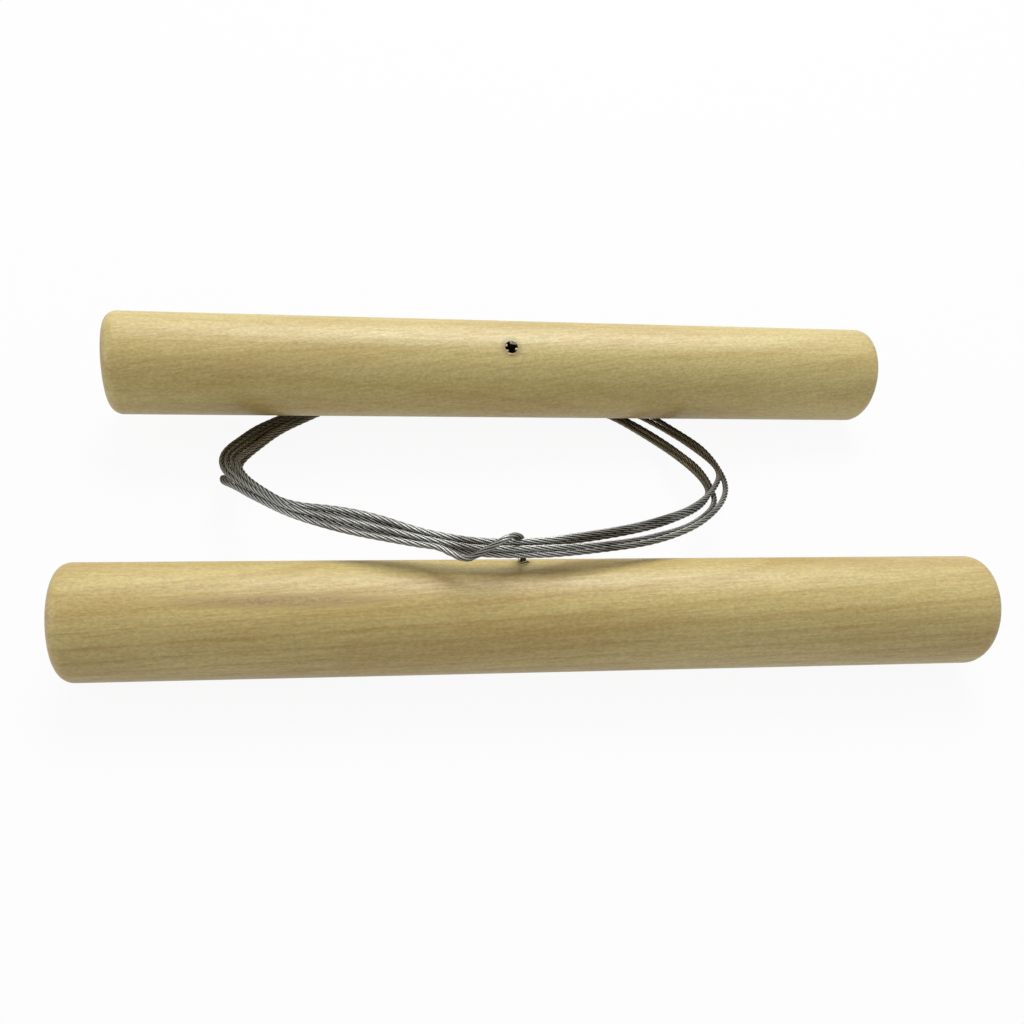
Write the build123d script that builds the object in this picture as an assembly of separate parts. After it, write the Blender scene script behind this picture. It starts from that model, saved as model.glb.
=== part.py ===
from build123d import *
import math
import os

# Clay cutter: two wooden dowel handles joined by one length of twisted steel wire, laid down with the wire coiled.
# Millimetres. X runs along the front handle, Y from the front handle to the back one, Z up.
# The origin is on the table, midway between the handles.

# Handles, one design used twice
handle_diameter = 12.0
handle_length = 98.0
handle_end_rounding = 1.5

# Cross hole of a handle: a fine bore for the wire, with a wide end for the stop
wire_mouth_diameter = 1.2
wire_mouth_depth = 0.6
stop_bore_depth = 5.0

# Wire, twisted from strands and here a six-sided rod, and the crimped stop at each of its ends
wire_diameter = 0.6
wire_side_count = 6
stop_diameter = 1.4
stop_length = 2.6
stop_dent_depth = 0.15
stop_dent_width = 0.5
wire_stub = 0.3
running_clearance = 0.05
stop_clearance = 0.08

# Front handle: flat on the table, its hole leaning back from upright
front_handle_y = -20.5
front_hole_shift = -2.7
front_hole_lean = 30.0

# Back handle: laid over the coil, so that its left end is raised and its right end is down
back_handle_x = 0.2
back_handle_y = 18.5
back_handle_lift = 1.6
back_handle_yaw = 2.3
back_handle_tilt = 1.6
back_hole_shift = -0.9
back_hole_lean = 205.6

# Coil: an oval that hangs from the tie at the front handle and lies on the table under the back handle
turn_count = 4
coil_front_x = -3.5
coil_front_y = -18.7
coil_front_z = 14.7
coil_left_x = -34.6
coil_left_y = 4.1
coil_left_z = 5.2
coil_right_x = 23.7
coil_right_y = 4.3
coil_right_z = 4.9
coil_back_x = -4.5
coil_back_y = 24.9
coil_bed_z = 0.36

# The turns side by side: outward step from turn to turn, and how far odd and even turns part in height
front_step = 0.8
front_zigzag = 0.72
side_zigzag = 0.4
left_step = 1.04
right_step = 1.1
back_step = 1.2

# At the two ends the turns fall towards the table over this run, outer turns over a longer one
left_fall_run = 10.0
left_fall_share = 0.5
right_fall_run = 9.5
right_fall_share = 0.3

# The coil starts part way along its first arc, where the tie leads into it
coil_start_share = 0.35

# Tie: the places that the wire passes from the front handle's hole to the start of the coil
tie_points = [
    (-2.75, -16.3, 14.4),
    (-3.0, -16.6, 15.9),
    (-3.9, -17.9, 16.7),
    (-5.2, -19.4, 16.6),
    (-6.6, -20.3, 16.0),
    (-8.0, -20.7, 15.3),
]

# Least gap between turns is measured on points this far apart, leaving out nearer stretches of wire
measure_step = 0.5
measure_skip = 6.0

# Leads: the straight run out of a hole, the run into the coil, and the part of a run that a bend may take
lead_exit_run = 1.3
lead_join_run = 1.6
bend_share = 0.45

handle_radius = handle_diameter / 2
wire_radius = wire_diameter / 2
wire_bore_radius = wire_radius + running_clearance
stop_radius = stop_diameter / 2
stop_bore_radius = stop_radius + stop_clearance
middle_turn = (turn_count + 1) / 2


def front_place():
    """Place of the front handle: its axis along X and its hole's wire side leaning back."""
    return Pos(0, front_handle_y, handle_radius) * Rotation(-front_hole_lean, 0, 0)


def back_place():
    """Place of the back handle: yawed, tilted over the coil, its hole's wire side down and back."""
    centre = Pos(back_handle_x, back_handle_y, handle_radius + back_handle_lift)
    turned = Rotation(0, 0, back_handle_yaw) * Rotation(0, back_handle_tilt, 0)
    return centre * turned * Rotation(back_hole_lean, 0, 0)


def hole_place(handle_place, hole_shift):
    """Place of a handle's cross hole: origin on the handle's axis, Z out of the wire side."""
    return handle_place * Pos(hole_shift, 0, 0)


def handle(hole_shift):
    """A dowel along X with softened ends and a stepped cross hole along Z."""
    dowel = Rotation(0, 90, 0) * Cylinder(handle_radius, handle_length)
    rims = dowel.edges().filter_by(GeomType.CIRCLE)
    dowel = fillet(rims, handle_end_rounding)
    bore = Cylinder(wire_bore_radius, handle_diameter)
    mouth_z = handle_radius - wire_mouth_depth / 2
    mouth = Pos(0, 0, mouth_z) * Cone(wire_bore_radius, wire_mouth_diameter / 2, wire_mouth_depth)
    stop_bore_z = stop_bore_depth / 2 - handle_radius
    stop_bore = Pos(0, 0, stop_bore_z) * Cylinder(stop_bore_radius, stop_bore_depth)
    return dowel - Pos(hole_shift, 0, 0) * (bore + mouth + stop_bore)


def anchor_wire():
    """The straight wire inside a handle, from its cut end past the stop to the mouth of the hole."""
    bottom_z = stop_bore_depth - handle_radius - running_clearance - stop_length - wire_stub
    height = handle_radius - bottom_z
    return Pos(0, 0, bottom_z + height / 2) * Cylinder(wire_radius, height)


def stop():
    """A crimped sleeve on the wire, seated on the floor of the wide end of the hole."""
    top_z = stop_bore_depth - handle_radius - running_clearance
    middle_z = top_z - stop_length / 2
    sleeve = Cylinder(stop_radius, stop_length)
    bore = Cylinder(wire_radius, stop_length)
    dent = Box(stop_diameter, stop_dent_depth * 2, stop_dent_width)
    front_dent = Pos(0, stop_radius, 0) * dent
    back_dent = Pos(0, -stop_radius, 0) * dent
    return Pos(0, 0, middle_z) * (sleeve - bore - front_dent - back_dent)


def outward(turn, step):
    """How far a turn lies outside the bundle's middle: the first turn is outermost."""
    return (middle_turn - turn) * step


def upward(turn, zigzag):
    """Even turns lie above the bundle's middle and odd turns below it."""
    return zigzag / 2 if turn % 2 == 0 else -zigzag / 2


def front_station(turn):
    """Place and heading of a turn where it passes the tie, going left."""
    y = coil_front_y - outward(turn, front_step)
    z = coil_front_z + upward(turn, front_zigzag)
    return Vector(coil_front_x, y, z), Vector(-1, 0, 0)


def left_station(turn):
    """Place and heading of a turn at the left end, going back and down to the table."""
    out = outward(turn, left_step)
    z = coil_left_z - upward(turn, side_zigzag)
    heading = Vector(0, left_fall_run + out * left_fall_share, coil_bed_z - z)
    return Vector(coil_left_x - out, coil_left_y, z), heading


def back_station(turn):
    """Place and heading of a turn where it lies on the table behind, going right."""
    y = coil_back_y + outward(turn, back_step)
    return Vector(coil_back_x, y, coil_bed_z), Vector(1, 0, 0)


def right_station(turn):
    """Place and heading of a turn at the right end, rising to the front."""
    out = outward(turn, right_step)
    z = coil_right_z + upward(turn, side_zigzag)
    heading = Vector(0, -right_fall_run - out * right_fall_share, z - coil_bed_z)
    return Vector(coil_right_x + out, coil_right_y, z), heading


def coil_stations():
    """Every quarter turn in order, from the tie round to the table beside the back handle's hole."""
    stations = [front_station(0)]
    for turn in range(1, turn_count + 1):
        stations += [left_station(turn), back_station(turn), right_station(turn), front_station(turn)]
    stations += [left_station(turn_count + 1), back_station(turn_count + 1)]
    return stations


def biarc(start, start_heading, end, end_heading):
    """Two arcs that meet smoothly and share their tangent length, between two places and headings."""
    go = start_heading.normalized()
    come = end_heading.normalized()
    across = end - start
    a = 2 * go.dot(come) - 2
    b = -2 * across.dot(go + come)
    c = across.dot(across)
    reach = (-b - math.sqrt(b * b - 4 * a * c)) / (2 * a)
    first_corner = start + go * reach
    second_corner = end - come * reach
    joint = (first_corner + second_corner) / 2
    joint_heading = second_corner - first_corner
    first = Edge.make_tangent_arc(start, go, joint)
    second = Edge.make_tangent_arc(joint, joint_heading, end)
    return [first, second]


def coil_path():
    """The coil's centre line: a biarc for each quarter turn, the first one cut where the tie joins it.

    Both ends run straight for one wire diameter.
    """
    stations = coil_stations()
    edges = []
    for (start, start_heading), (end, end_heading) in zip(stations, stations[1:]):
        edges += biarc(start, start_heading, end, end_heading)
    edges[0] = edges[0].trim(coil_start_share, 1)
    first, last = edges[0], edges[-1]
    straight_in = Line(first @ 0 - first % 0 * wire_diameter, first @ 0)
    straight_out = Line(last @ 1, last @ 1 + last % 1 * wire_diameter)
    return Wire([straight_in, *edges, straight_out])


def hole_mouth(place):
    """Where the wire leaves a handle, and the way it points there."""
    mouth = (place * Pos(0, 0, handle_radius)).position
    return mouth, (mouth - place.position).normalized()


def front_lead_points(coil_wire):
    """The tie: up behind the bundle, over its top, down across its front to the left, and into the coil."""
    mouth, out = hole_mouth(hole_place(front_place(), front_hole_shift))
    start = coil_wire @ 0
    heading = coil_wire % 0
    return [
        mouth,
        mouth + out * lead_exit_run,
        *[Vector(*point) for point in tie_points],
        start - heading * lead_join_run,
        start,
    ]


def back_lead_points(coil_wire):
    """From the coil's end along the table, then up into the back handle's hole."""
    mouth, out = hole_mouth(hole_place(back_place(), back_hole_shift))
    end = coil_wire @ 1
    heading = coil_wire % 1
    return [end, end + heading * lead_join_run, mouth + out * lead_exit_run, mouth]


def bend_radii(points):
    """The largest radius that each corner's two runs allow."""
    radii = []
    for before, corner, after in zip(points, points[1:], points[2:]):
        run = min((corner - before).length, (after - corner).length)
        turn = math.radians((corner - before).get_angle(after - corner))
        radii.append(bend_share * run / math.tan(turn / 2))
    return radii


def wire_section():
    """The wire's outline where it is free of a handle."""
    return RegularPolygon(wire_radius, wire_side_count)


def wire_along(path, name):
    """The wire swept along a path, with its volume compared with section times length."""
    section = wire_section()
    solid = sweep(Plane(origin=path @ 0, z_dir=path % 0) * section, path=path)
    print(name, "volume", round(solid.volume, 3), "section times length", round(section.area * path.length, 3))
    return solid


def lead(points, name):
    """A lead's tube, with its bend radii."""
    radii = bend_radii(points)
    path = FilletPolyline(*points, radius=radii)
    print(name, "radii", [round(r, 2) for r in radii], "length", round(path.length, 1))
    return wire_along(path, name)


def least_gap(path):
    """The least gap between stretches of wire, measured on points along the path."""
    count = round(path.length / measure_step)
    points = [path @ (i / count) for i in range(count + 1)]
    skip = round(measure_skip / measure_step)
    nearest = path.length
    for i, point in enumerate(points):
        for other in points[i + skip :]:
            nearest = min(nearest, (other - point).length)
    return nearest - wire_diameter


def coil(path, name):
    """The coil's unbroken tube, with its least gap to itself."""
    print(name, "length", round(path.length, 1), "least gap to itself", round(least_gap(path), 3))
    return wire_along(path, name)


def main():
    front_hole = hole_place(front_place(), front_hole_shift)
    back_hole = hole_place(back_place(), back_hole_shift)
    coil_wire = coil_path()
    parts = {
        "front_handle": front_place() * handle(front_hole_shift),
        "back_handle": back_place() * handle(back_hole_shift),
        "front_anchor_wire": front_hole * anchor_wire(),
        "back_anchor_wire": back_hole * anchor_wire(),
        "front_stop": front_hole * stop(),
        "back_stop": back_hole * stop(),
        "front_lead": lead(front_lead_points(coil_wire), "front_lead"),
        "back_lead": lead(back_lead_points(coil_wire), "back_lead"),
        "wire_coil": coil(coil_wire, "wire_coil"),
    }
    os.makedirs("parts", exist_ok=True)
    for name, solid in parts.items():
        solid.label = name
        export_step(solid, f"parts/{name}.step")


main()
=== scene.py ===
import math

import bpy
from mathutils import Euler, Matrix, Vector


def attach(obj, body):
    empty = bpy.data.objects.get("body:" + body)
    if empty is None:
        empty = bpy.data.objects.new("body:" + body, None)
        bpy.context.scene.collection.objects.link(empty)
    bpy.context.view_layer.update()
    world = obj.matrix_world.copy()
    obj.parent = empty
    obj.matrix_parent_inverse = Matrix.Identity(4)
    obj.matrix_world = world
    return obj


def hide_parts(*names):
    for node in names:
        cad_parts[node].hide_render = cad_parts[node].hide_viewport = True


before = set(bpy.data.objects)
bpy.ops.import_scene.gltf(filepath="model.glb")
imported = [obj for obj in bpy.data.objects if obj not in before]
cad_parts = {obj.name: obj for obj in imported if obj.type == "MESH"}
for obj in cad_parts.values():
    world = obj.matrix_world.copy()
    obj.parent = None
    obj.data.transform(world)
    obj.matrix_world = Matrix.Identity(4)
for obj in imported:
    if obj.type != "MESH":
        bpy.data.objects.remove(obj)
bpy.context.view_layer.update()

# Looks of the clay cutter: two wooden handles and one stranded steel wire, laid down with the wire coiled.
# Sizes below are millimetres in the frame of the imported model, and MM turns them into metres.
MM = 0.001

# Camera, fitted to the outlines of the handles in the photograph
FRAME_PIXELS = 1024
SENSOR_WIDTH = 36.0
CAMERA_LENS = 34.417
CAMERA_SHIFT = (0.02073, 0.11416)
CAMERA_SPOT = Vector((-19.88, -83.35, 86.24))
CAMERA_TURN = Euler((math.radians(37.676), math.radians(-5.633), math.radians(-5.533)))

# Wire: six strands that wind once in each lay round a core as thick as one of them. They hide it, so it
# isn't built.
WIRE_DIAMETER = 0.68
WIRE_LAY = 6.3
OUTER_STRANDS = 6
STRAND_DIAMETER = WIRE_DIAMETER / 3
STRAND_SIDES = 8
RINGS_PER_LAY = 20
SPLINE_STEPS = 16

# The wire's route where it leaves each handle, along the hole
FRONT_MOUTH = [(-2.7, -17.5, 11.196), (-2.7, -16.85, 12.32)]
BACK_MOUTH = [(-1.6, 21.75, 0.5), (-0.99, 21.6, 1.06), (-0.94, 21.04, 2.23)]

# The wire's route between them. Each point is a pixel of the photograph's frame and a given height above the
# table. The wire rises behind the bundle, ties over it, and then goes round five times, the last time only
# half way. The photograph hides it under the back handle, so the points there are a guess.
TIE = [
    (521, 553, 12.4), (522, 546, 12.8), (522, 540, 14), (520.5, 536.5, 15.2),
    (513, 535.3, 16.4), (504, 539.3, 16.6), (493, 546, 15.9), (480, 553.5, 15.2),
    (466, 560, 14.6), (451, 553, 14.5),
]
FIRST_TURN = [
    (438, 546.5, 14.5), (420, 544.6, 14.3), (400, 541, 14.2), (380, 537.4, 14),
    (360, 533.6, 13.7), (340, 529.2, 13.3), (320, 523.7, 12.9), (300, 517.7, 12.3),
    (281, 510.4, 11.5), (264, 502, 10.7), (248, 494, 9.4), (238, 488, 8.5),
    (228, 483.4, 7.6), (222.7, 481.3, 6.7), (222.7, 476.9, 5.8), (228.6, 479.2, 5.3),
    (236.5, 479.6, 4.8), (240, 464, 4), (249, 454.8, 3.3), (260, 446.4, 2.7), (270, 438.6, 2.2),
    (284, 429.5, 1.6), (306, 419.5, 1), (330, 409, 0.5), (355, 404.5, 0.36),
    (380, 402.5, 0.36), (405, 401.5, 0.36), (440, 401.5, 0.36), (480, 402.5, 0.36),
    (520, 403.5, 0.36), (556, 405.5, 0.36), (580, 409.5, 0.36), (600, 412.5, 0.5),
    (620, 421.3, 0.8), (640, 433.2, 1.2), (655, 442.4, 1.8), (670, 452.2, 2.6),
    (685, 463.3, 3.7), (697.3, 474, 4.9), (705.3, 483.5, 6.1), (708.8, 491.7, 7.3),
    (706, 500, 8.5), (698, 508, 9.7), (686, 514.4, 10.8), (670, 520.9, 11.6),
    (655, 525.8, 12.2), (638, 530, 12.7), (615, 534.5, 13.1), (585, 539.3, 13.5),
    (545, 543.8, 13.9),
]
SECOND_TURN = [
    (505, 545, 13.9), (470, 543.5, 14), (440, 538.5, 14.1), (420, 534.4, 14),
    (400, 528.8, 13.8), (380, 523, 13.6), (360, 518.3, 13.4), (340, 514.5, 13.1),
    (320, 510.7, 12.7), (300, 507.5, 12.1), (280, 501.6, 11.3), (266, 494.3, 10.2),
    (254, 487.2, 9.3), (245.5, 480.3, 8.5), (239, 473.5, 7.7), (234, 466.3, 6.8),
    (231.3, 459.6, 6), (235.4, 453.4, 5.1), (244.4, 447.4, 4.2), (254.6, 440.5, 3.3),
    (269.3, 430.2, 2.2), (291, 419.5, 1.1), (313, 409.5, 0.7), (342, 400.5, 0.4),
    (372, 394.5, 0.36), (405, 390.5, 0.36), (440, 388, 0.36), (480, 387, 0.36),
    (520, 389.5, 0.36), (556, 396, 0.36), (585, 403, 0.36), (606, 410.5, 0.4),
    (625, 419.5, 0.7), (640, 427.6, 1.1), (655, 436.6, 1.6), (670, 446.4, 2.3),
    (685, 457.5, 3.3), (697, 467, 4.4), (706, 478.5, 5.7), (711.8, 490, 7),
    (715.2, 500.5, 8.3), (711.5, 509.5, 9.4), (703.5, 517, 10.4), (693, 524, 11.2),
    (680, 529.8, 11.9), (662, 534.7, 12.5), (640, 540, 13), (612, 544, 13.6),
    (580, 546.8, 14.1), (545, 548, 14.4),
]
THIRD_TURN = [
    (505, 549, 14.5), (470, 547.5, 14.5), (440, 542, 14.5), (420, 537.7, 14.5),
    (400, 532.8, 14.4), (380, 527.8, 14.2), (360, 523.3, 14), (340, 519.3, 13.6),
    (320, 514.9, 13.1), (300, 510.8, 12.6), (281, 504.6, 11.8), (266, 496.5, 10.9),
    (253, 489, 10.1), (243.5, 481.5, 9.1), (236.5, 475, 8.1), (228, 467.8, 7),
    (226.4, 460.4, 6), (229, 453.7, 5), (237.2, 446.9, 4.1), (246.6, 439.9, 3.3),
    (262.5, 430, 2.2), (283, 420, 1.1), (306, 409.3, 0.5), (335, 399.5, 0.36),
    (368, 390.5, 0.36), (405, 385.5, 0.36), (440, 381.5, 0.36), (480, 378.5, 0.36),
    (520, 379.5, 0.36), (556, 386, 0.36), (590, 394.5, 0.36), (618, 403.2, 0.36),
    (640, 411.1, 0.4), (657, 419.6, 0.7), (671, 428.3, 1.25), (686, 437.5, 2.1),
    (701, 447.7, 3.2), (711.8, 459.3, 4.2), (719, 470, 5.5), (725, 481.5, 6.9),
    (726, 493, 8.5), (720.7, 504.8, 9.8), (710.3, 515.5, 10.9), (696.5, 525.6, 11.7),
    (678, 534, 12.3), (656, 540.8, 12.8), (635, 545, 13.1), (607, 548.7, 13.5),
    (575, 552.4, 13.8), (545, 554.8, 13.9),
]
FOURTH_TURN = [
    (505, 555, 13.9), (470, 553.3, 13.9), (440, 545.5, 13.9), (420, 541, 13.9),
    (400, 536.9, 13.8), (380, 532.5, 13.6), (360, 528.5, 13.4), (340, 524.2, 13),
    (320, 519.2, 12.6), (300, 514.2, 12.1), (280, 507, 11.3), (265, 499.5, 10.4),
    (250, 491, 9.3), (239, 482.5, 8.3), (228.8, 475.7, 7.3), (221.9, 466.4, 6.2),
    (221.8, 456.3, 5.1), (228.8, 447.2, 4.1), (239.7, 439.6, 3.2), (254.5, 429, 2.2),
    (275.5, 419.5, 1.2), (300, 409.3, 0.7), (330, 398.5, 0.4), (365, 388.5, 0.4),
    (405, 382, 0.8), (440, 380.5, 1.15), (480, 381.8, 1.15), (520, 386, 1),
    (556, 393, 0.5), (590, 399.5, 0.36), (615, 406.3, 0.45), (637, 415.2, 0.6),
    (654, 423.8, 1), (670, 432.9, 1.65), (685, 442.2, 2.5), (700, 452.8, 3.6),
    (710, 460.5, 4.9), (718, 469, 6.1), (719.5, 478, 7.2), (713.8, 489, 8.3),
    (706, 498, 9.4), (696, 505.3, 10.4), (684.5, 511.6, 11.2), (669, 516.8, 11.9),
    (650, 522.7, 12.6), (628, 527.8, 13.3), (600, 532.8, 13.9), (572, 536.8, 14.4),
    (545, 541, 14.7),
]
LAST_HALF_TURN = [
    (505, 541.8, 14.8), (470, 540.6, 14.8), (440, 535.3, 14.7), (420, 531, 14.6),
    (400, 524.6, 14.4), (380, 518.2, 14.2), (360, 513.2, 14), (340, 509.7, 13.6),
    (320, 507.3, 13.1), (300, 505.6, 12.6), (281, 500.8, 11.8), (267, 492.6, 10.9),
    (255.5, 485, 10.1), (246.5, 477.9, 9.1), (241.5, 471.3, 8.1), (238.2, 465.2, 7.2),
    (236.4, 459.6, 6.3), (241.4, 455.8, 5.3), (250.8, 448.8, 4.4), (262.4, 440, 3.3),
    (276.4, 429.9, 2.2), (298.5, 419.5, 1.1), (322, 408.5, 0.5), (345, 402.5, 0.36),
    (375, 397.5, 0.36), (405, 394, 0.36), (440, 391.5, 0.36),
]

# Handles, as their solids are placed. A hole is given by its place along the handle and its lean round it.
HANDLE_RADIUS = 6.0
HANDLE_LENGTH = 98.0
FRONT_HANDLE_SPOT = (0.0, -20.5, 6.0)
FRONT_HOLE = (-2.7, -30.0)
BACK_HANDLE_SPOT = (0.2, 18.5, 7.6)
BACK_HANDLE_YAW = 2.3
BACK_HANDLE_TILT = 1.6
BACK_HOLE = (-0.9, 25.6)

# Torn fibres round a hole, each with its root, its tip and its width. The three numbers of a root or tip
# are how far along the handle it is from the hole's middle, how far across, and how high above the surface.
FRONT_FIBRES = [
    ((-0.7, -0.3, -0.02), (0.24, -0.42, 0.28), 0.16),
    ((-0.6, -0.6, -0.03), (0.35, -0.64, 0.13), 0.22),
    ((0.64, 0.0, -0.02), (0.45, -0.2, 0.24), 0.2),
    ((-0.2, 0.66, -0.02), (-0.45, 0.5, 0.28), 0.2),
]
BACK_FIBRES = [
    ((0.0, 0.88, -0.04), (-0.04, 0.42, 0.02), 0.3),
    ((0.72, 0.7, -0.05), (0.0, 0.62, -0.12), 0.66),
    ((0.9, -0.3, -0.03), (0.44, -0.26, 0.04), 0.44),
    ((-0.82, -0.45, -0.03), (-0.38, -0.46, 0.0), 0.3),
    ((-0.88, 0.36, -0.03), (-0.5, 0.16, -0.03), 0.5),
    ((-0.6, -0.8, -0.03), (0.1, -1.0, 0.1), 0.24),
    ((0.0, -0.85, -0.02), (0.42, -0.98, 0.06), 0.16),
]
FIBRE_THICKNESS = 0.09
FIBRE_TIP_SHARE = 0.4

# Wood colours
PALE_WOOD = (0.61, 0.50, 0.195, 1)
BROWN_WOOD = (0.44, 0.30, 0.085, 1)
STREAK_WOOD = (0.31, 0.195, 0.085, 1)
PORE_WOOD = (0.22, 0.13, 0.05, 1)
END_WOOD = (0.42, 0.31, 0.12, 1)
TORN_WOOD = (0.66, 0.57, 0.33, 1)
# Painted shade inside a drilled hole and round it
HOLE_SHADE_WOOD = (0.05, 0.028, 0.01, 1)

# Steel colours: bright, tarnished, painted shade low near the table, and a near black that is painted shade
# between the strands and at a hole and dark dirt on the stops
BRIGHT_STEEL = (0.32, 0.32, 0.30, 1)
TARNISHED_STEEL = (0.10, 0.09, 0.075, 1)
LOW_SHADE_STEEL = (0.17, 0.145, 0.10, 1)
DIRT_AND_SHADE = (0.012, 0.011, 0.009, 1)

# How the two handles' wood differs: the grain's rise to the right in degrees, the shift that gives the
# patterns another place, where the handle's middle lies from the pith, the growth rings' width and what they
# add to the tone, how brown the wood is all over, how far from a hole's axis it is painted dark as the
# hole's shade, and the middle and the reach of a streak of brown specks.
FRONT_WOOD = {
    "rise": 2.5,
    "shift": (37, 11, 5),
    "from_pith": (0, 9, 14),
    "ring_width": 1.5,
    "ring_depth": 0.3,
    "brownness": 0.34,
    "dark_radius": 0.5,
    "streak": ((-27, -2.1, 5.6), (15, 1.0, 1.0)),
}
BACK_WOOD = {
    "rise": 6,
    "shift": (74, 22, 10),
    "from_pith": (0, -16, 10),
    "ring_width": 1.1,
    "ring_depth": 0.14,
    "brownness": 0.08,
    "dark_radius": 0.8,
}

# Patterns of the wood: how long and how wide their grains are, and the noise's detail and roughness
SLOW_PATCHES = (40, 5.0, 2.0, 0.5)
FIBRES = (5.0, 0.26, 4.0, 0.6)
FINE_FIBRES = (1.8, 0.11, 2.0, 0.6)
FUZZ = (0.5, 0.27, 2.0, 0.7)
PORES = (1.5, 0.09, 1.0, 0.4)
TORN_GRAIN = (0.8, 0.08, 3.0, 0.6)

# Width of one ring of the wave texture at scale 1
WAVE_SPACING = 0.314

# What a pattern or a distance does: two of its values, and then the result at the first and at the second.
# The growth rings' second result is each handle's own.
SLOW_TONE = (0.3, 0.7, 0.0, 0.5)
RING_TONE = (0.55, 1.0, 0.0)
FIBRE_TONE = (0.35, 0.72, -0.14, 0.26)
FINE_FIBRE_TONE = (0.3, 0.7, -0.08, 0.08)
PORE_SHARE = (0.66, 0.8, 0.0, 0.45)
END_RING_TONE = (0.2, 1.0, 0.35, 0.9)
SPECKLE_GAIN = (0.28, 0.72, 0.84, 1.11)
WOOD_ROUGHNESS = (0.2, 0.8, 0.38, 0.52)
STREAK_FADE = (0.2, 1.0, 1.0, 0.0)
STREAK_DOTS = (0.4, 0.6, 0.15, 1.0)
# Dots of the painted shade round a hole
HOLE_SHADE_DOTS = (0.35, 0.6, 0.3, 1.0)
TORN_TONE = (0.3, 0.7, 0.0, 0.7)
TORN_ROUGHNESS = (0.3, 0.7, 0.65, 0.85)

# End grain starts to show at the first distance from a handle's end and is all that shows at the second
END_GRAIN_REACH = (1.2, 0.2)

# Round a hole: how far the painted shade inside it fades, how far the painted shade round it reaches, and
# how strong that is at the hole
HOLE_EDGE = 0.05
HOLE_SHADE_REACH = 0.9
HOLE_SHADE_STRENGTH = 0.6

# Relief of the wood: heights of its patterns against the fibres', and each bump's strength and depth
FUZZ_HEIGHT = 0.9
PORE_DEPTH = 0.8
WOOD_BUMP = (0.4, 0.06)
TORN_BUMP = (0.5, 0.03)

# Patterns of the metal: grains to the metre and the noise's detail, then what they do, and their bumps
TARNISH_PATCHES = (140.0, 3.0)
STEEL_SCRATCHES = (6000.0, 2.0)
STOP_GRAIN = (2500.0, 3.0)
TARNISH_SHARE = (0.4, 0.75, 0.0, 1.0)
# Painted shade between the strands by how far out a corner faces, and how much of it stays low down
GROOVE_SHADE_SHARE = (-0.1, 0.75, 1.0, 0.0)
LOW_GROOVE_SHADE_SHARE = (0.0, 1.0, 1.0, 0.6)
STEEL_ROUGHNESS = (0.3, 0.7, 0.24, 0.4)
STOP_TONE = (0.3, 0.7, 0.0, 1.0)
STOP_ROUGHNESS = (0.3, 0.7, 0.4, 0.6)
STEEL_BUMP = (0.2, 0.01)
STOP_BUMP = (0.3, 0.02)

# The wire has painted shade below one height and none above another, and painted shade near the front
# handle's hole
SHADED_BELOW = 4
UNSHADED_ABOVE = 10
MOUTH_SHADE_WITHIN = 0.9
UNSHADED_BEYOND = 1.7
MOUTH_SHADE_STRENGTH = 0.85

# Floor, and how much of its look is plain white instead of lit
FLOOR_HALF = 2000
FLOOR_GREY = (0.65, 0.65, 0.65, 1)
FLOOR_GLOW_SHARE = 0.93
WHITE = (1, 1, 1, 1)

# Soft fill light from all round
FILL_COLOUR = (0.95, 0.97, 1.0, 1)
FILL_STRENGTH = 0.4

# Lamps: name, place, size and power, one large above and behind the tool and a weaker one at its left
LAMP_AIM = (0, 0, 5)
LAMPS = [
    ("top_lamp", (60, 260, 420), 320, 2.25),
    ("left_lamp", (-420, -80, 260), 260, 0.5),
]


def make_camera():
    """The camera, set as the scene's camera."""
    camera = bpy.data.cameras.new("camera")
    camera.sensor_width = SENSOR_WIDTH
    camera.lens = CAMERA_LENS
    camera.shift_x, camera.shift_y = CAMERA_SHIFT
    camera.clip_start = MM
    holder = bpy.data.objects.new("camera", camera)
    holder.rotation_euler = CAMERA_TURN
    holder.location = CAMERA_SPOT * MM
    bpy.context.scene.collection.objects.link(holder)
    bpy.context.scene.camera = holder


def make_object(name, corners, faces):
    """A smooth-shaded mesh object in the scene."""
    mesh = bpy.data.meshes.new(name)
    mesh.from_pydata([tuple(corner) for corner in corners], [], faces)
    mesh.shade_smooth()
    made = bpy.data.objects.new(name, mesh)
    bpy.context.scene.collection.objects.link(made)
    return made


def place(column, row, height):
    """The point at that height above the table that the camera sees at that pixel."""
    pixels_per_unit = FRAME_PIXELS * CAMERA_LENS / SENSOR_WIDTH
    across = column - FRAME_PIXELS * (0.5 - CAMERA_SHIFT[0])
    down = row - FRAME_PIXELS * (0.5 + CAMERA_SHIFT[1])
    ray = CAMERA_TURN.to_matrix() @ Vector((across / pixels_per_unit, -down / pixels_per_unit, -1))
    return CAMERA_SPOT + ray * ((height - CAMERA_SPOT.z) / ray.z)


def wire_route():
    """The given points of the wire's line, from one handle's hole to the other's, in metres."""
    turns = TIE + FIRST_TURN + SECOND_TURN + THIRD_TURN + FOURTH_TURN + LAST_HALF_TURN
    front_end = [Vector(point) for point in FRONT_MOUTH]
    free_points = [place(*point) for point in turns]
    back_end = [Vector(point) for point in BACK_MOUTH]
    return [point * MM for point in front_end + free_points + back_end]


def smooth_line(route):
    """Points read from one smooth spline that has the route as its control points."""
    curve = bpy.data.curves.new("wire_line", "CURVE")
    curve.dimensions = "3D"
    curve.resolution_u = SPLINE_STEPS
    spline = curve.splines.new("NURBS")
    spline.points.add(len(route) - 1)
    for point, spot in zip(spline.points, route):
        point.co = (*spot, 1)
    spline.order_u = 3
    spline.use_endpoint_u = True
    holder = bpy.data.objects.new("wire_line", curve)
    mesh = bpy.data.meshes.new_from_object(holder)
    line = [vertex.co.copy() for vertex in mesh.vertices]
    bpy.data.meshes.remove(mesh)
    bpy.data.objects.remove(holder)
    bpy.data.curves.remove(curve)
    return line


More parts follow.
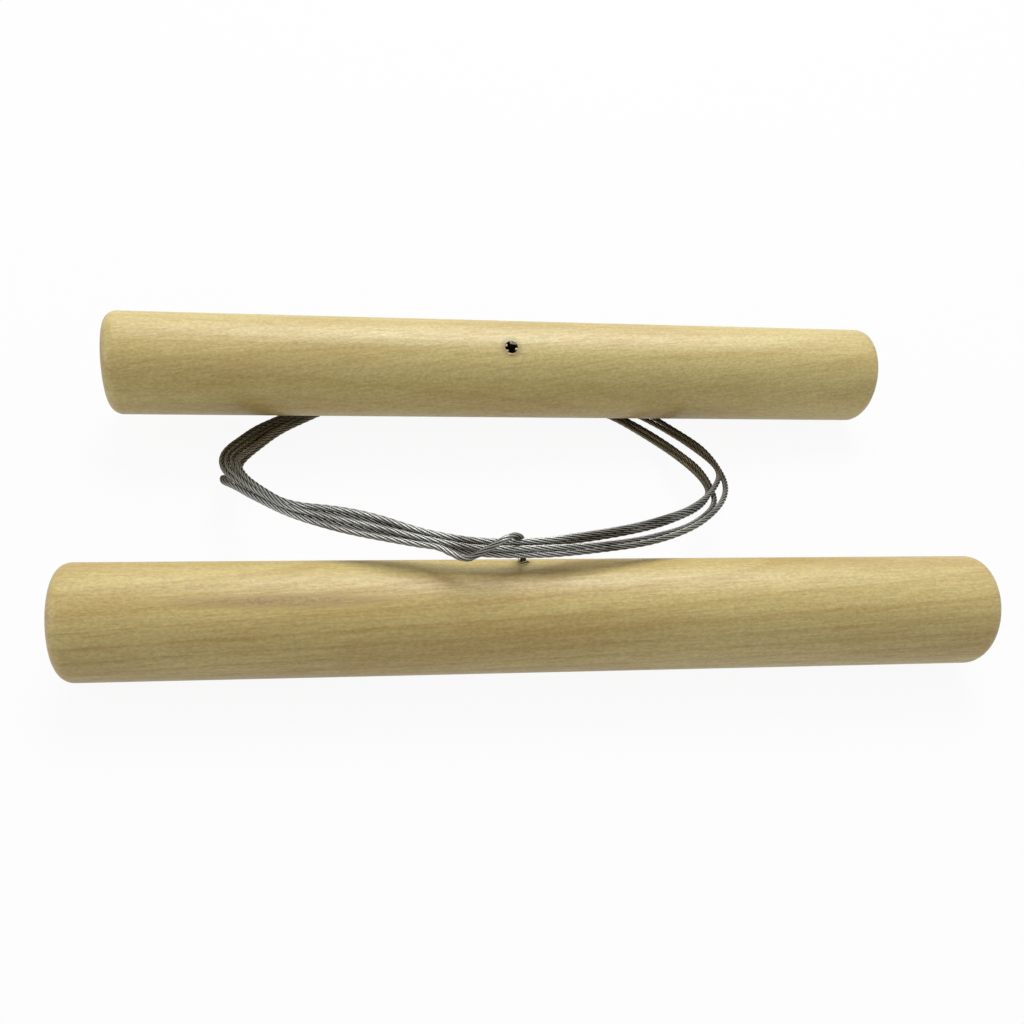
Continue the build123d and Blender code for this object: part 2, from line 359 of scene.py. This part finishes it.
def even_line(line, step):
    """Points on the same line that are a step apart along it, and the distance along it to each."""
    spots = [line[0]]
    stations = [0]
    travelled = 0
    wanted = step
    for start, end in zip(line, line[1:]):
        run = (end - start).length
        while run and travelled + run >= wanted:
            spots.append(start.lerp(end, (wanted - travelled) / run))
            stations.append(wanted)
            wanted += step
        travelled += run
    return spots, stations


def carried_frames(spots):
    """Two directions square to the line at each point, carried along it without twisting."""
    frames = []
    side = Vector((1, 0, 0))
    for index in range(len(spots)):
        ahead = spots[min(index + 1, len(spots) - 1)] - spots[max(index - 1, 0)]
        ahead.normalize()
        side = (side - ahead * side.dot(ahead)).normalized()
        frames.append((side, ahead.cross(side)))
    return frames


def strand(spots, stations, frames, start_angle):
    """Rings of corners of one round strand that winds about the line, and how far out each corner faces."""
    strand_radius = STRAND_DIAMETER / 2 * MM
    winding_radius = STRAND_DIAMETER * MM
    corners = []
    facing = []
    for spot, station, (side, lift) in zip(spots, stations, frames):
        angle = start_angle + math.tau * station / (WIRE_LAY * MM)
        outward = side * math.cos(angle) + lift * math.sin(angle)
        around = lift * math.cos(angle) - side * math.sin(angle)
        centre = spot + outward * winding_radius
        for corner in range(STRAND_SIDES):
            turn = math.tau * corner / STRAND_SIDES
            corners.append(centre + (outward * math.cos(turn) + around * math.sin(turn)) * strand_radius)
            facing.append(math.cos(turn))
    return corners, facing


def strand_faces(ring_count, first_corner):
    """Faces between the rings of one strand whose corners start at that number."""
    faces = []
    for ring in range(ring_count - 1):
        near = first_corner + ring * STRAND_SIDES
        far = near + STRAND_SIDES
        for corner in range(STRAND_SIDES):
            following = (corner + 1) % STRAND_SIDES
            faces.append((near + corner, near + following, far + following, far + corner))
    return faces


def make_wire():
    """The whole stranded wire as one mesh of strands round the line."""
    line = smooth_line(wire_route())
    spots, stations = even_line(line, WIRE_LAY / RINGS_PER_LAY * MM)
    frames = carried_frames(spots)
    corners = []
    faces = []
    facing = []
    for index in range(OUTER_STRANDS):
        faces += strand_faces(len(spots), len(corners))
        start_angle = math.tau * index / OUTER_STRANDS
        strand_corners, strand_facing = strand(spots, stations, frames, start_angle)
        corners += strand_corners
        facing += strand_facing
    wire = make_object("cutting_wire", corners, faces)
    wire.data.attributes.new("facing", "FLOAT", "POINT").data.foreach_set("value", facing)
    wire.data.materials.append(steel_material("wire_steel", shade_grooves=True))
    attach(wire, "wire")
    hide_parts("wire_coil", "front_lead", "back_lead")


def new_material(name):
    """A node material, its nodes and the main shader among them."""
    material = bpy.data.materials.new(name)
    material.use_nodes = True
    return material, material.node_tree, material.node_tree.nodes["Principled BSDF"]


def feed(tree, socket, value):
    """A link or a plain value put on a socket."""
    if isinstance(value, bpy.types.NodeSocket):
        tree.links.new(value, socket)
    else:
        socket.default_value = value


def add_node(tree, kind, settings=None, inputs=None):
    """A node with settings on the node itself and values or links on its inputs."""
    node = tree.nodes.new("ShaderNode" + kind)
    for name, value in (settings or {}).items():
        setattr(node, name, value)
    for name, value in (inputs or {}).items():
        feed(tree, node.inputs[name], value)
    return node


def object_place(tree):
    """A point's place in the model's frame at rest, which stays with the piece when it moves."""
    return add_node(tree, "TexCoord").outputs["Object"]


def sum_up(tree, operation, first, second):
    """The result of one sum on two values or links."""
    return add_node(tree, "Math", {"operation": operation}, {0: first, 1: second}).outputs[0]


def vector_sum(tree, operation, first, second):
    """The result of one sum on two vectors."""
    return add_node(tree, "VectorMath", {"operation": operation}, {0: first, 1: second}).outputs[0]


def length_of(tree, vector):
    """How long a vector is."""
    return add_node(tree, "VectorMath", {"operation": "LENGTH"}, {0: vector}).outputs["Value"]


def remap(tree, value, low, high, new_low, new_high):
    """A value moved from one range to another, held at its ends."""
    return add_node(
        tree, "MapRange", {"interpolation_type": "SMOOTHSTEP"},
        {"Value": value, "From Min": low, "From Max": high, "To Min": new_low, "To Max": new_high},
    ).outputs["Result"]


def find_socket(sockets, identifier):
    """The socket with that identifier, which on a mix node is all that tells some sockets apart."""
    return next(socket for socket in sockets if socket.identifier == identifier)


def mix_colour(tree, share, first, second, blend="MIX"):
    """Two colours mixed by a share."""
    node = add_node(tree, "Mix", {"data_type": "RGBA", "blend_type": blend})
    for identifier, value in (("Factor_Float", share), ("A_Color", first), ("B_Color", second)):
        feed(tree, find_socket(node.inputs, identifier), value)
    return find_socket(node.outputs, "Result_Color")


def noise(tree, spot, scale, detail, roughness=0.5):
    """Noise with so many grains to the unit of its place."""
    return add_node(
        tree, "TexNoise", None, {"Vector": spot, "Scale": scale, "Detail": detail, "Roughness": roughness}
    ).outputs["Fac"]


def stretched_noise(tree, place_in_handle, along, across, detail, roughness):
    """Noise with grains that are so many millimetres long and wide, along the handle and across it."""
    grains_per_metre = (1 / (along * MM), 1 / (across * MM), 1 / (across * MM))
    scaled = vector_sum(tree, "MULTIPLY", place_in_handle, grains_per_metre)
    return noise(tree, scaled, 1.0, detail, roughness)


def add_bump(tree, shader, height, strength, depth):
    """A pattern's relief on the shader, so many millimetres deep."""
    bump = add_node(tree, "Bump", None, {"Height": height, "Strength": strength, "Distance": depth * MM})
    tree.links.new(bump.outputs["Normal"], shader.inputs["Normal"])


def handle_axes(tree, spot, yaw, tilt):
    """A point's place in a handle's own axes: along the handle first, then across it and up."""
    centred = vector_sum(tree, "SUBTRACT", object_place(tree), Vector(spot) * MM)
    return add_node(
        tree, "Mapping", {"vector_type": "TEXTURE"},
        {"Vector": centred, "Rotation": (0, math.radians(tilt), math.radians(yaw))},
    ).outputs["Vector"]


def rising(tree, place_in_handle, angle, shift):
    """The same place for grain that rises by that angle to the right, moved by a shift in millimetres."""
    return add_node(
        tree, "Mapping", {"vector_type": "POINT"},
        {"Vector": place_in_handle, "Location": Vector(shift) * MM,
         "Rotation": (0, math.radians(angle), math.radians(-angle))},
    ).outputs["Vector"]


def growth_rings(tree, ring_place, ring_width):
    """Growth rings round the pith, each one darkening towards its edge."""
    return add_node(
        tree, "TexWave", {"wave_type": "RINGS", "rings_direction": "X", "wave_profile": "SAW"},
        {"Vector": ring_place, "Scale": WAVE_SPACING / (ring_width * MM), "Distortion": 2.2,
         "Detail": 2.0, "Detail Scale": 0.12, "Detail Roughness": 0.5},
    ).outputs["Fac"]


def streak_share(tree, place_in_handle, fuzz, centre, reach):
    """How much a point lies in a long dotted streak of darker wood."""
    from_centre = vector_sum(tree, "SUBTRACT", place_in_handle, Vector(centre) * MM)
    scaled = vector_sum(tree, "DIVIDE", from_centre, Vector(reach) * MM)
    near = remap(tree, length_of(tree, scaled), *STREAK_FADE)
    return sum_up(tree, "MULTIPLY", near, remap(tree, fuzz, *STREAK_DOTS))


def end_share(tree, place_in_handle):
    """1 on a handle's sawn ends and 0 along its sides."""
    along = add_node(tree, "SeparateXYZ", None, {"Vector": place_in_handle}).outputs["X"]
    from_middle = sum_up(tree, "ABSOLUTE", along, 0.0)
    starts, full = (HANDLE_LENGTH / 2 - distance for distance in END_GRAIN_REACH)
    return remap(tree, from_middle, starts * MM, full * MM, 0.0, 1.0)


def hole_shade_share(tree, place_in_handle, fuzz, along, lean, radius):
    """1 in the drilled hole, painted as its shade, and fading dotted painted shade on the surface round it.
    """
    rolled = add_node(
        tree, "Mapping", {"vector_type": "TEXTURE"},
        {"Vector": place_in_handle, "Location": (along * MM, 0, 0), "Rotation": (math.radians(lean), 0, 0)},
    ).outputs["Vector"]
    distance = length_of(tree, vector_sum(tree, "MULTIPLY", rolled, (1, 1, 0)))
    drilled = remap(tree, distance, radius * MM, (radius + HOLE_EDGE) * MM, 1.0, 0.0)
    rim_shade = remap(tree, distance, radius * MM, (radius + HOLE_SHADE_REACH) * MM, HOLE_SHADE_STRENGTH, 0.0)
    rim_shade = sum_up(tree, "MULTIPLY", rim_shade, remap(tree, fuzz, *HOLE_SHADE_DOTS))
    return sum_up(tree, "MAXIMUM", drilled, rim_shade)


def wood_tone(tree, grain_place, fibres, rings, wood):
    """How brown the wood is, from 0 for the pale colour to 1 for the brown one."""
    slow = stretched_noise(tree, grain_place, *SLOW_PATCHES)
    fine_fibres = stretched_noise(tree, grain_place, *FINE_FIBRES)
    tone = remap(tree, slow, *SLOW_TONE)
    tone = sum_up(tree, "ADD", tone, remap(tree, rings, *RING_TONE, wood["ring_depth"]))
    tone = sum_up(tree, "ADD", tone, remap(tree, fibres, *FIBRE_TONE))
    tone = sum_up(tree, "ADD", tone, remap(tree, fine_fibres, *FINE_FIBRE_TONE))
    return sum_up(tree, "ADD", tone, wood["brownness"])


def speckled(tree, colour, fuzz):
    """A colour made darker and lighter in fine specks."""
    gain = remap(tree, fuzz, *SPECKLE_GAIN)
    grey = add_node(tree, "CombineColor", None, {0: gain, 1: gain, 2: gain}).outputs[0]
    return mix_colour(tree, 1.0, colour, grey, "MULTIPLY")


def wood_material(name, spot, yaw, tilt, hole, wood):
    """Plain sanded wood in the handle's own axes: growth rings, fibres, pores and slow changes of tone."""
    material, tree, shader = new_material(name)
    own = handle_axes(tree, spot, yaw, tilt)
    grain_place = rising(tree, own, wood["rise"], wood["shift"])
    fibres = stretched_noise(tree, grain_place, *FIBRES)
    fuzz = stretched_noise(tree, grain_place, *FUZZ)
    pore_share = remap(tree, stretched_noise(tree, grain_place, *PORES), *PORE_SHARE)
    rings = growth_rings(tree, rising(tree, own, wood["rise"], wood["from_pith"]), wood["ring_width"])

    colour = mix_colour(tree, wood_tone(tree, grain_place, fibres, rings, wood), PALE_WOOD, BROWN_WOOD)
    colour = mix_colour(tree, pore_share, colour, PORE_WOOD)
    if "streak" in wood:
        colour = mix_colour(tree, streak_share(tree, own, fuzz, *wood["streak"]), colour, STREAK_WOOD)
    end_tone = sum_up(tree, "MULTIPLY", end_share(tree, own), remap(tree, rings, *END_RING_TONE))
    colour = mix_colour(tree, end_tone, colour, END_WOOD)
    # Painted shade: near black inside the hole, fading in dots round it
    hole_shade = hole_shade_share(tree, own, fuzz, *hole, wood["dark_radius"])
    colour = speckled(tree, mix_colour(tree, hole_shade, colour, HOLE_SHADE_WOOD), fuzz)
    tree.links.new(colour, shader.inputs["Base Color"])

    tree.links.new(remap(tree, fibres, *WOOD_ROUGHNESS), shader.inputs["Roughness"])
    shader.inputs["Specular IOR Level"].default_value = 0.65
    relief = sum_up(tree, "ADD", fibres, sum_up(tree, "MULTIPLY", fuzz, FUZZ_HEIGHT))
    relief = sum_up(tree, "SUBTRACT", relief, sum_up(tree, "MULTIPLY", pore_share, PORE_DEPTH))
    add_bump(tree, shader, relief, *WOOD_BUMP)
    return material


def torn_wood_material():
    """The pale raw fibres that the drill tore up round a hole."""
    material, tree, shader = new_material("torn_wood")
    grain = stretched_noise(tree, object_place(tree), *TORN_GRAIN)
    colour = mix_colour(tree, remap(tree, grain, *TORN_TONE), TORN_WOOD, BROWN_WOOD)
    tree.links.new(colour, shader.inputs["Base Color"])
    tree.links.new(remap(tree, grain, *TORN_ROUGHNESS), shader.inputs["Roughness"])
    add_bump(tree, shader, grain, *TORN_BUMP)
    return material


def steel_material(name, shade_grooves):
    """Bare steel, tarnished in places, with painted shade: darker and browner low near the table, and dark
    at the front hole's mouth and between strands.
    """
    material, tree, shader = new_material(name)
    own_place = object_place(tree)
    tarnish = noise(tree, own_place, *TARNISH_PATCHES)
    scratches = noise(tree, own_place, *STEEL_SCRATCHES)
    colour = mix_colour(tree, remap(tree, tarnish, *TARNISH_SHARE), BRIGHT_STEEL, TARNISHED_STEEL)
    # Painted shade: the wire darker and browner where it lies low near the table
    height = add_node(tree, "SeparateXYZ", None, {"Vector": own_place}).outputs["Z"]
    low = remap(tree, height, SHADED_BELOW * MM, UNSHADED_ABOVE * MM, 1.0, 0.0)
    colour = mix_colour(tree, low, colour, LOW_SHADE_STEEL)
    # Painted shade: the wire near black at the mouth of the front handle's hole
    from_mouth = add_node(
        tree, "VectorMath", {"operation": "DISTANCE"}, {0: own_place, 1: Vector(FRONT_MOUTH[0]) * MM}
    ).outputs["Value"]
    mouth_shade = remap(tree, from_mouth, MOUTH_SHADE_WITHIN * MM, UNSHADED_BEYOND * MM, MOUTH_SHADE_STRENGTH, 0.0)
    colour = mix_colour(tree, mouth_shade, colour, DIRT_AND_SHADE)
    # Painted shade between the strands, on the corners that face inward, weaker low down
    if shade_grooves:
        facing = add_node(tree, "Attribute", {"attribute_name": "facing"}).outputs["Fac"]
        groove_shade = remap(tree, facing, *GROOVE_SHADE_SHARE)
        groove_shade = sum_up(tree, "MULTIPLY", groove_shade, remap(tree, low, *LOW_GROOVE_SHADE_SHARE))
        colour = mix_colour(tree, groove_shade, colour, DIRT_AND_SHADE)
    tree.links.new(colour, shader.inputs["Base Color"])
    tree.links.new(remap(tree, scratches, *STEEL_ROUGHNESS), shader.inputs["Roughness"])
    shader.inputs["Metallic"].default_value = 1.0
    shader.inputs["Specular Tint"].default_value = (0.5, 0.5, 0.48, 1)
    add_bump(tree, shader, scratches, *STEEL_BUMP)
    return material


def stop_material():
    """The crimped stop's dull metal."""
    material, tree, shader = new_material("stop_metal")
    grain = noise(tree, object_place(tree), *STOP_GRAIN)
    colour = mix_colour(tree, remap(tree, grain, *STOP_TONE), TARNISHED_STEEL, DIRT_AND_SHADE)
    tree.links.new(colour, shader.inputs["Base Color"])
    tree.links.new(remap(tree, grain, *STOP_ROUGHNESS), shader.inputs["Roughness"])
    shader.inputs["Metallic"].default_value = 1.0
    add_bump(tree, shader, grain, *STOP_BUMP)
    return material


def dress(node, material):
    """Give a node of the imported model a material."""
    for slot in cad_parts[node].material_slots:
        slot.material = material


def dress_handles():
    """Wood on both handles, each in its own axes."""
    front = wood_material("front_handle_wood", FRONT_HANDLE_SPOT, 0, 0, FRONT_HOLE, FRONT_WOOD)
    back = wood_material(
        "back_handle_wood", BACK_HANDLE_SPOT, BACK_HANDLE_YAW, BACK_HANDLE_TILT, BACK_HOLE, BACK_WOOD
    )
    dress("front_handle", front)
    dress("back_handle", back)


def dress_metal():
    """Steel on the wire inside the handles and dull metal on the stops."""
    steel = steel_material("inner_wire_steel", shade_grooves=False)
    stop = stop_material()
    for end in ("front", "back"):
        dress(end + "_anchor_wire", steel)
        dress(end + "_stop", stop)


def on_handle(spot, yaw, tilt, lean):
    """Turn and place of a handle, rolled so that its own up direction points out of the hole."""
    turned = Matrix.Rotation(math.radians(yaw), 4, "Z") @ Matrix.Rotation(math.radians(tilt), 4, "Y")
    return Matrix.Translation(Vector(spot) * MM) @ turned @ Matrix.Rotation(math.radians(lean), 4, "X")


def make_fibres(name, body, placing, along, fibres, material):
    """Slivers of torn wood that stand round a hole, rooted in the handle's surface."""
    corners = []
    faces = []
    for root, tip, width in fibres:
        root, tip = Vector(root), Vector(tip)
        across = Vector((root.y - tip.y, tip.x - root.x, 0)).normalized() * width / 2
        tip_across = across * FIBRE_TIP_SHARE
        outline = [root - across, root + across, tip + tip_across, tip - tip_across]
        first = len(corners)
        for depth in (FIBRE_THICKNESS, 0):
            for corner in outline:
                surface = math.sqrt(HANDLE_RADIUS**2 - corner.y**2)
                lifted = Vector((along + corner.x, corner.y, surface + corner.z - depth))
                corners.append(placing @ (lifted * MM))
        faces.append([first + 3, first + 2, first + 1, first])
        faces.append([first + 4, first + 5, first + 6, first + 7])
        for corner in range(4):
            following = (corner + 1) % 4
            faces.append([first + corner, first + following, first + following + 4, first + corner + 4])
    torn = make_object(name, corners, faces)
    torn.data.materials.append(material)
    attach(torn, body)


def make_torn_rims():
    """Torn fibres round the two hole ends that the photograph shows."""
    material = torn_wood_material()
    along, lean = FRONT_HOLE
    placing = on_handle(FRONT_HANDLE_SPOT, 0, 0, lean)
    make_fibres(
        "front_torn_fibres", "front_grip", placing, along, FRONT_FIBRES, material
    )
    along, lean = BACK_HOLE
    placing = on_handle(BACK_HANDLE_SPOT, BACK_HANDLE_YAW, BACK_HANDLE_TILT, lean)
    make_fibres(
        "back_torn_fibres", "back_grip", placing, along, BACK_FIBRES, material
    )


def background_share(tree):
    """1 where the camera, a reflection or glass looks at the surface, and 0 where light comes from it."""
    path = add_node(tree, "LightPath").outputs
    seen = sum_up(tree, "MAXIMUM", path["Is Camera Ray"], path["Is Glossy Ray"])
    return sum_up(tree, "MAXIMUM", seen, path["Is Transmission Ray"])


def make_floor():
    """A wide white floor that keeps a faint shadow."""
    half = FLOOR_HALF * MM
    corners = [(-half, -half, 0), (half, -half, 0), (half, half, 0), (-half, half, 0)]
    floor = make_object("floor", corners, [(0, 1, 2, 3)])
    material, tree, shader = new_material("floor_white")
    shader.inputs["Base Color"].default_value = FLOOR_GREY
    shader.inputs["Roughness"].default_value = 0.9
    glow = add_node(tree, "Emission", None, {"Color": WHITE, "Strength": 1.0})
    share = sum_up(tree, "MULTIPLY", background_share(tree), FLOOR_GLOW_SHARE)
    mixed = add_node(tree, "MixShader", None, {0: share, 1: shader.outputs[0], 2: glow.outputs[0]})
    tree.links.new(mixed.outputs[0], tree.nodes["Material Output"].inputs["Surface"])
    floor.data.materials.append(material)


def make_world():
    """White all round to the camera, and soft fill light on the object."""
    world = bpy.data.worlds.new("world")
    bpy.context.scene.world = world
    world.use_nodes = True
    tree = world.node_tree
    fill = tree.nodes["Background"]
    fill.inputs["Color"].default_value = FILL_COLOUR
    fill.inputs["Strength"].default_value = FILL_STRENGTH
    white = add_node(tree, "Background", None, {"Color": WHITE, "Strength": 1.0})
    share = background_share(tree)
    mixed = add_node(tree, "MixShader", None, {0: share, 1: fill.outputs[0], 2: white.outputs[0]})
    tree.links.new(mixed.outputs[0], tree.nodes["World Output"].inputs["Surface"])


def make_lamp(name, spot, size, power):
    """A soft square lamp that looks at the tool."""
    lamp = bpy.data.lights.new(name, "AREA")
    lamp.size = size * MM
    lamp.energy = power
    holder = bpy.data.objects.new(name, lamp)
    spot, aim = Vector(spot) * MM, Vector(LAMP_AIM) * MM
    facing = (aim - spot).to_track_quat("-Z", "Y").to_matrix().to_4x4()
    holder.matrix_world = Matrix.Translation(spot) @ facing
    bpy.context.scene.collection.objects.link(holder)


def make_lights():
    """Every lamp in the list."""
    for name, spot, size, power in LAMPS:
        make_lamp(name, spot, size, power)


make_camera()
make_wire()
dress_handles()
dress_metal()
make_torn_rims()
make_floor()
make_world()
make_lights()
bpy.context.scene.view_settings.view_transform = "Standard"
